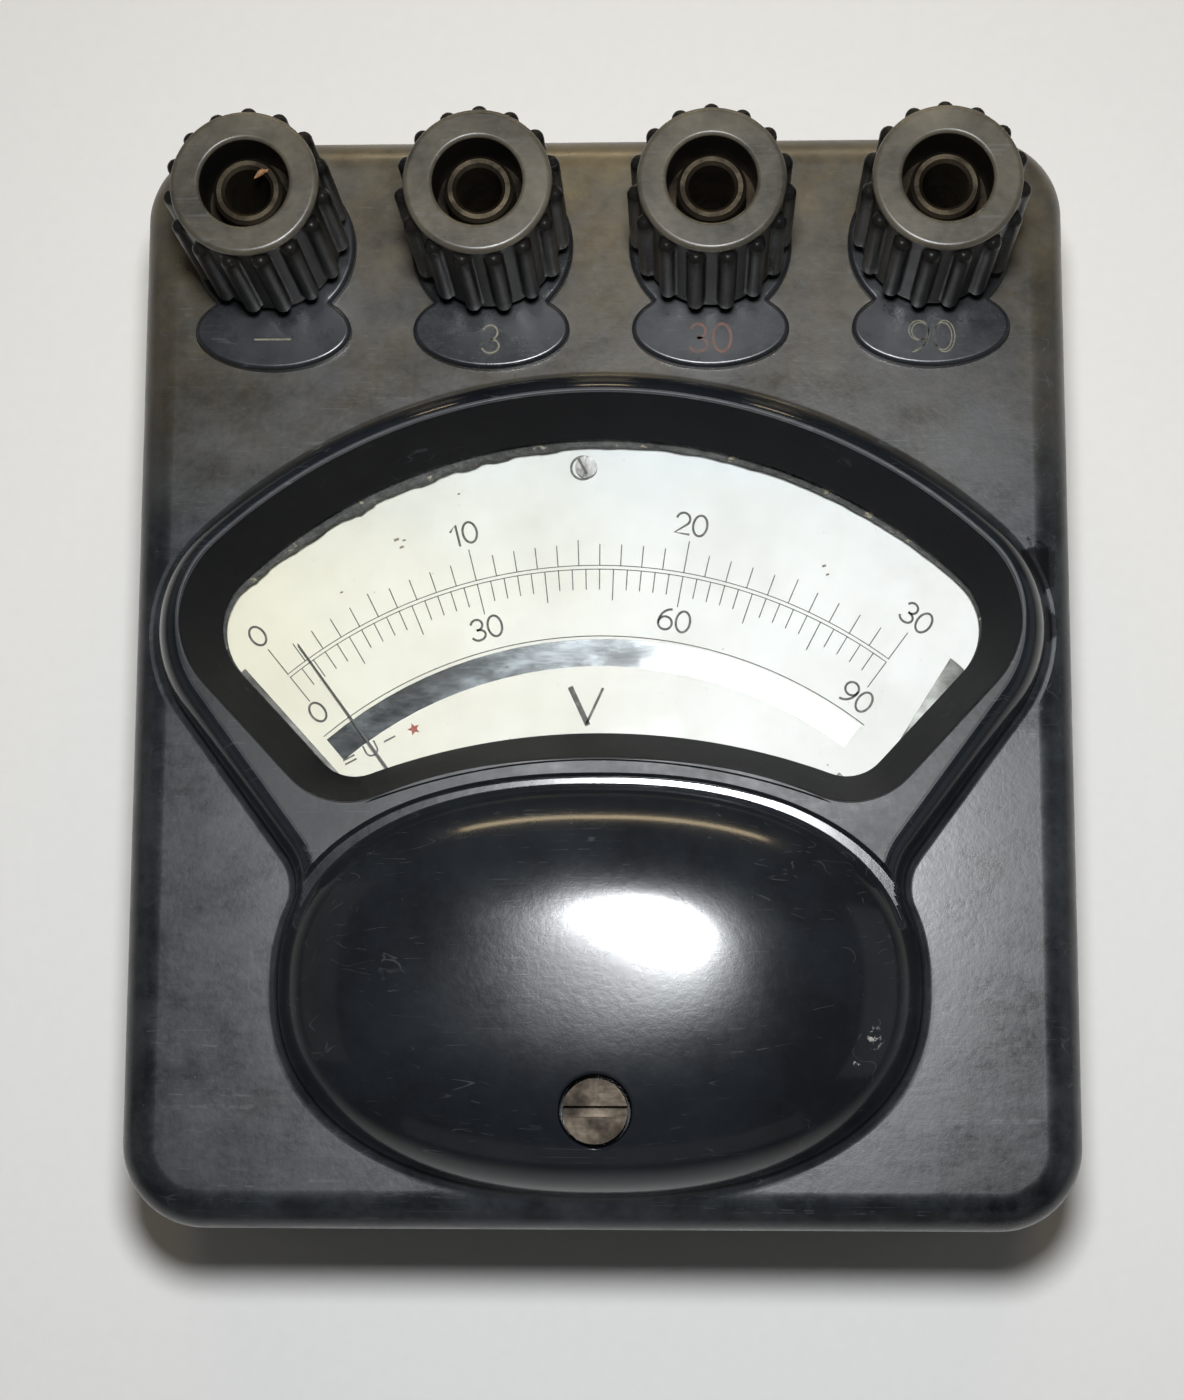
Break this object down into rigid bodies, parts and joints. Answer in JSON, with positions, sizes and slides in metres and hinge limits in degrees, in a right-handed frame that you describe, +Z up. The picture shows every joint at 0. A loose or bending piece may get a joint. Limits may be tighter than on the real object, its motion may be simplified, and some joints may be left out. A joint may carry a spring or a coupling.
{
  "type": "pocket voltmeter",
  "caption": "Moving-coil pocket voltmeter: black moulded case, fan-shaped dial window, domed movement cover and screw-down binding posts with plug sockets.",
  "frame": {"origin": "centre of the case's footprint, on its underside", "axes": "+X to the right of the dial, +Y towards the binding posts, +Z up out of the dial"},
  "size_m": [0.085, 0.1, 0.0505],
  "materials": {
    "case_moulding": "polished black phenolic moulding, dulled by wear",
    "knob_moulding": "worn black phenolic moulding",
    "label_moulding": "polished black phenolic moulding",
    "window_glass": "clear flat glass",
    "putty": "dried grey glazing cement",
    "dial_card": "aged white printed card",
    "dial_metal": "bare sheet",
    "mirror": "silvered strip",
    "brass": "turned, dulled",
    "socket_brass": "turned, tarnished brown",
    "steel": "turned",
    "magnet_paint": "red lacquer",
    "spring_bronze": "rolled strip",
    "hard_paper": "resin-bonded paper",
    "ceramic": "glazed ceramic",
    "copper": "enamelled copper wire",
    "pointer_paint": "black lacquer"
  },
  "bodies": {
    "root": {"cover": "case_moulding", "base_plate": "case_moulding", "base_screws": "steel", "window_glass": "window_glass", "glass_putty": "putty", "dial_plate": "dial_metal", "dial_card": "dial_card", "mirror_strip": "mirror", "dial_screws": "steel", "dial_posts": "brass", "chassis": "dial_metal", "chassis_screws": "steel", "magnet": "magnet_paint", "pole_shoes": "steel", "core": "steel", "core_bracket": "brass", "magnet_clamp": "brass", "lower_bridge": "brass", "upper_bridge": "brass", "jewel_screws": "brass", "lower_hairspring": "spring_bronze", "pointer_stops": "steel", "resistor_board": "hard_paper", "resistor_spools": "ceramic", "resistor_windings": "copper", "wiring": "copper", "stud_nuts": "brass", "solder_lugs": "brass", "label_minus": "label_moulding", "label_3": "label_moulding", "label_30": "label_moulding", "label_90": "label_moulding", "stud_minus": "socket_brass", "stud_3": "socket_brass", "stud_30": "socket_brass", "stud_90": "socket_brass"},
    "clamp_minus": {"washer_minus": "brass"},
    "knob_minus": {"head_minus": "knob_moulding", "insert_minus": "brass"},
    "clamp_3": {"washer_3": "brass"},
    "knob_3": {"head_3": "knob_moulding", "insert_3": "brass"},
    "clamp_30": {"washer_30": "brass"},
    "knob_30": {"head_30": "knob_moulding", "insert_30": "brass"},
    "clamp_90": {"washer_90": "brass"},
    "knob_90": {"head_90": "knob_moulding", "insert_90": "brass"},
    "movement": {"pointer": "pointer_paint", "coil_former": "dial_metal", "coil_winding": "copper", "axle": "steel", "counterweights": "brass"},
    "zero_adjuster": {"zero_screw": "brass", "zero_clip": "steel"},
    "zero_fork": {"zero_lever": "brass", "upper_hairspring": "spring_bronze"}
  },
  "joints": [
    {"name": "clamp_lift_minus", "type": "slide", "parent": "root", "child": "clamp_minus", "axis": [0, 0, 1], "range_m": [0, 0.004]},
    {"name": "knob_turn_minus", "type": "hinge", "parent": "clamp_minus", "child": "knob_minus", "pos_m": [-0.03, 0.0388, 0.0349], "axis": [0, 0, 1], "range_deg": [0, 1440]},
    {"name": "clamp_lift_3", "type": "slide", "parent": "root", "child": "clamp_3", "axis": [0, 0, 1], "range_m": [0, 0.004]},
    {"name": "knob_turn_3", "type": "hinge", "parent": "clamp_3", "child": "knob_3", "pos_m": [-0.01, 0.0388, 0.0349], "axis": [0, 0, 1], "range_deg": [0, 1440]},
    {"name": "clamp_lift_30", "type": "slide", "parent": "root", "child": "clamp_30", "axis": [0, 0, 1], "range_m": [0, 0.004]},
    {"name": "knob_turn_30", "type": "hinge", "parent": "clamp_30", "child": "knob_30", "pos_m": [0.01, 0.0388, 0.0349], "axis": [0, 0, 1], "range_deg": [0, 1440]},
    {"name": "clamp_lift_90", "type": "slide", "parent": "root", "child": "clamp_90", "axis": [0, 0, 1], "range_m": [0, 0.004]},
    {"name": "knob_turn_90", "type": "hinge", "parent": "clamp_90", "child": "knob_90", "pos_m": [0.03, 0.0388, 0.0349], "axis": [0, 0, 1], "range_deg": [0, 1440]},
    {"name": "pointer_swing", "type": "hinge", "parent": "root", "child": "movement", "pos_m": [0, -0.0356, 0.0284], "axis": [0, 0, -1], "range_deg": [-4.2, 73.6], "stiffness_Nm_per_rad": 0.000015},
    {"name": "zero_screw_turn", "type": "hinge", "parent": "root", "child": "zero_adjuster", "pos_m": [0, -0.0396, 0.0385], "axis": [0, 0, 1], "range_deg": [-60, 60]},
    {"name": "zero_fork_turn", "type": "hinge", "parent": "root", "child": "zero_fork", "pos_m": [0, -0.0356, 0.0339], "axis": [0, 0, 1], "range_deg": [-9.6, 9.6]}
  ],
  "couplings": [
    {"joint": "knob_turn_minus", "follows": "clamp_lift_minus", "rad_per_m": 6280},
    {"joint": "knob_turn_3", "follows": "clamp_lift_3", "rad_per_m": 6280},
    {"joint": "knob_turn_30", "follows": "clamp_lift_30", "rad_per_m": 6280},
    {"joint": "knob_turn_90", "follows": "clamp_lift_90", "rad_per_m": 6280},
    {"joint": "zero_fork_turn", "follows": "zero_screw_turn", "ratio": 0.157}
  ]
}
